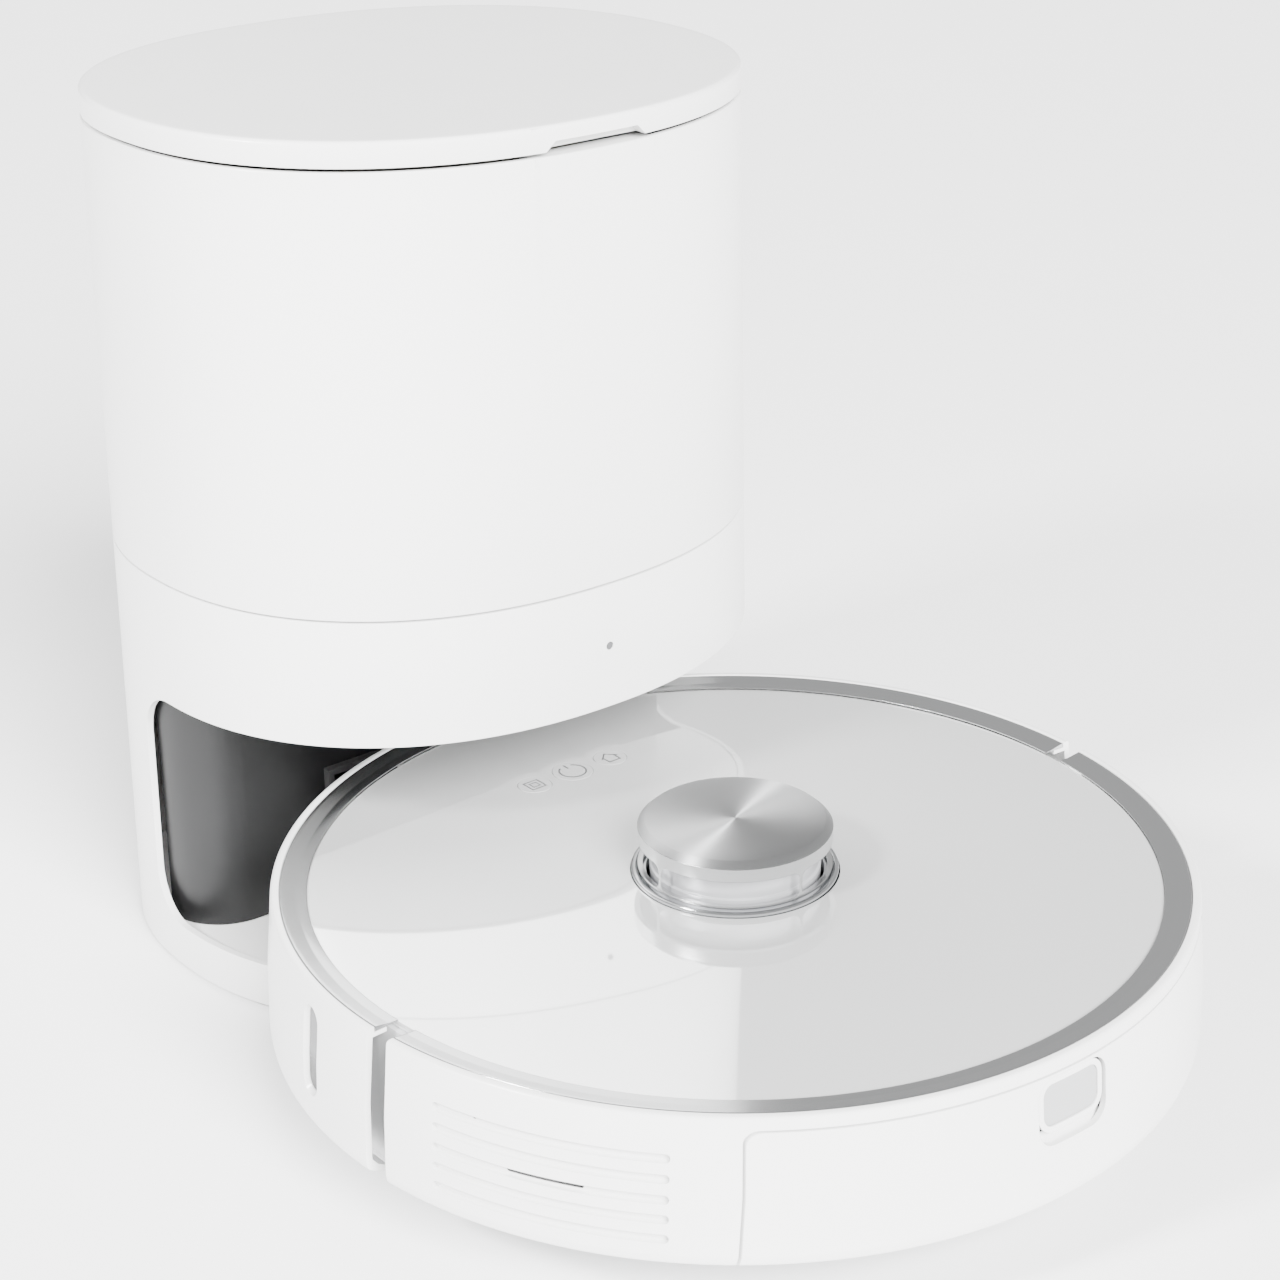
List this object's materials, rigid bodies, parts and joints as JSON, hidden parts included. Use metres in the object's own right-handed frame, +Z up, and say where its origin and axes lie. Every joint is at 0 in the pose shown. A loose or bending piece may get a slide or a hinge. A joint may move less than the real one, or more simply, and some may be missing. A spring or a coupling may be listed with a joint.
{
  "type": "robot vacuum with dock",
  "caption": "Round robot vacuum with a laser turret, parked in a tall self-emptying dock with a lift-up lid.",
  "frame": {"origin": "on the floor, in the middle of the whole object (robot docked)", "axes": "+Y from the robot into the dock, +X to the right of that, +Z up"},
  "size_m": [0.35, 0.4784, 0.3472],
  "materials": {
    "black_gloss": "semi-gloss black",
    "board": "solder-masked circuit board",
    "bristle": "nylon bristle",
    "brushed_steel": "circular brushed",
    "contact_metal": "plated spring contact",
    "dark_plastic": "matt dark grey",
    "gloss_white": "mirror-gloss white plastic",
    "paper": "non-woven paper",
    "rubber": "moulded rubber",
    "satin_grey": "satin grey plastic",
    "silver_trim": "satin plated trim",
    "white_plastic": "satin white moulded plastic"
  },
  "bodies": {
    "dock": {"dock_base": "white_plastic", "dock_lower_shell": "white_plastic", "dock_recess_liner": "black_gloss", "dock_deck": "dark_plastic", "dock_upper_shell": "white_plastic", "lid_hinge_pin": "brushed_steel", "dock_suction_duct": "dark_plastic", "dock_port_seal": "rubber", "bag_collar": "paper", "dust_bag": "paper", "blower_housing": "dark_plastic", "dock_circuit_board": "board", "exhaust_grille": "white_plastic", "exhaust_filter": "paper", "power_inlet": "black_gloss", "status_led": "satin_grey", "dock_contact_left": "contact_metal", "dock_contact_right": "contact_metal", "foot_left_front": "rubber", "foot_right_front": "rubber", "foot_left_rear": "rubber", "foot_right_rear": "rubber"},
    "lid": {"dock_lid": "white_plastic"},
    "blower_rotor": {"blower_impeller": "satin_grey"},
    "robot": {"robot_chassis": "dark_plastic", "robot_body_shell": "white_plastic", "robot_rear_trim": "silver_trim", "robot_top_plate": "gloss_white", "lidar_base": "brushed_steel", "lidar_cage": "brushed_steel", "battery": "dark_plastic", "robot_circuit_board": "board", "fan_housing": "dark_plastic", "brush_housing": "dark_plastic", "brush_cover": "dark_plastic", "dust_transfer_duct": "dark_plastic", "robot_contact_left": "contact_metal", "robot_contact_right": "contact_metal"},
    "bumper": {"bumper_shell": "white_plastic", "bumper_trim": "silver_trim", "bumper_window_left": "dark_plastic", "bumper_window_right": "dark_plastic"},
    "power_key": {"power_button": "satin_grey"},
    "spot_key": {"spot_button": "satin_grey"},
    "home_key": {"home_button": "satin_grey"},
    "lidar_head": {"lidar_rotor": "black_gloss"},
    "dustbin": {"dustbin_body": "dark_plastic", "dustbin_lid": "dark_plastic", "dustbin_panel": "white_plastic", "dustbin_filter": "paper"},
    "release_key": {"dustbin_release_button": "satin_grey"},
    "fan_rotor": {"fan_impeller": "satin_grey"},
    "roller": {"main_brush": "bristle"},
    "side_sweeper": {"side_brush": "bristle"},
    "arm_left": {"wheel_arm_left": "dark_plastic"},
    "arm_right": {"wheel_arm_right": "dark_plastic"},
    "wheel_left": {"drive_wheel_left": "rubber"},
    "wheel_right": {"drive_wheel_right": "rubber"},
    "caster_swivel_body": {"caster_fork": "dark_plastic"},
    "caster_roller": {"caster_wheel": "rubber"}
  },
  "joints": [
    {"name": "robot_drive", "type": "slide", "parent": "dock", "child": "robot", "axis": [0, -1, 0], "range_m": [0, 0.35]},
    {"name": "lid_hinge", "type": "hinge", "parent": "dock", "child": "lid", "pos_m": [0, 0.23495, 0.3371], "axis": [-1, 0, 0], "range_deg": [0, 80]},
    {"name": "blower_spin", "type": "hinge", "parent": "dock", "child": "blower_rotor", "pos_m": [0.05, 0.17835, 0.08], "axis": [0, 0, 1], "continuous": true},
    {"name": "bumper_press", "type": "slide", "parent": "robot", "child": "bumper", "axis": [0, -1, 0], "range_m": [0, 0.004], "stiffness_N_per_m": 900, "springref_m": -0.002},
    {"name": "power_press", "type": "slide", "parent": "robot", "child": "power_key", "axis": [0, 0, -1], "range_m": [0, 0.0008], "stiffness_N_per_m": 1500, "springref_m": -0.0006},
    {"name": "spot_press", "type": "slide", "parent": "robot", "child": "spot_key", "axis": [0, 0, -1], "range_m": [0, 0.0008], "stiffness_N_per_m": 1500, "springref_m": -0.0006},
    {"name": "home_press", "type": "slide", "parent": "robot", "child": "home_key", "axis": [0, 0, -1], "range_m": [0, 0.0008], "stiffness_N_per_m": 1500, "springref_m": -0.0006},
    {"name": "lidar_spin", "type": "hinge", "parent": "robot", "child": "lidar_head", "pos_m": [0, -0.06425, 0.084], "axis": [0, 0, 1], "continuous": true},
    {"name": "dustbin_pull", "type": "slide", "parent": "robot", "child": "dustbin", "axis": [0, -1, 0], "range_m": [0, 0.13]},
    {"name": "release_press", "type": "slide", "parent": "dustbin", "child": "release_key", "axis": [0, 1, 0], "range_m": [0, 0.003], "stiffness_N_per_m": 700, "springref_m": -0.001},
    {"name": "fan_spin", "type": "hinge", "parent": "robot", "child": "fan_rotor", "pos_m": [-0.106, -0.13425, 0.05], "axis": [0, 0, 1], "continuous": true},
    {"name": "main_brush_spin", "type": "hinge", "parent": "robot", "child": "roller", "pos_m": [0, -0.06625, 0.019], "axis": [1, 0, 0], "continuous": true},
    {"name": "side_brush_spin", "type": "hinge", "parent": "robot", "child": "side_sweeper", "pos_m": [0.112, 0.00775, 0.007], "axis": [0, 0, 1], "continuous": true},
    {"name": "arm_left_travel", "type": "hinge", "parent": "robot", "child": "arm_left", "pos_m": [-0.0965, -0.02025, 0.04], "axis": [-1, 0, 0], "range_deg": [0, 7.5], "stiffness_Nm_per_rad": 1, "springref_deg": -11.46},
    {"name": "wheel_left_spin", "type": "hinge", "parent": "arm_left", "child": "wheel_left", "pos_m": [-0.117, -0.06425, 0.034], "axis": [1, 0, 0], "continuous": true},
    {"name": "arm_right_travel", "type": "hinge", "parent": "robot", "child": "arm_right", "pos_m": [0.0965, -0.02025, 0.04], "axis": [-1, 0, 0], "range_deg": [0, 7.5], "stiffness_Nm_per_rad": 1, "springref_deg": -11.46},
    {"name": "wheel_right_spin", "type": "hinge", "parent": "arm_right", "child": "wheel_right", "pos_m": [0.117, -0.06425, 0.034], "axis": [1, 0, 0], "continuous": true},
    {"name": "caster_swivel", "type": "hinge", "parent": "robot", "child": "caster_swivel_body", "pos_m": [0, 0.06375, 0.02], "axis": [0, 0, 1], "continuous": true},
    {"name": "caster_roll", "type": "hinge", "parent": "caster_swivel_body", "child": "caster_roller", "pos_m": [0, 0.05575, 0.009], "axis": [1, 0, 0], "continuous": true}
  ]
}
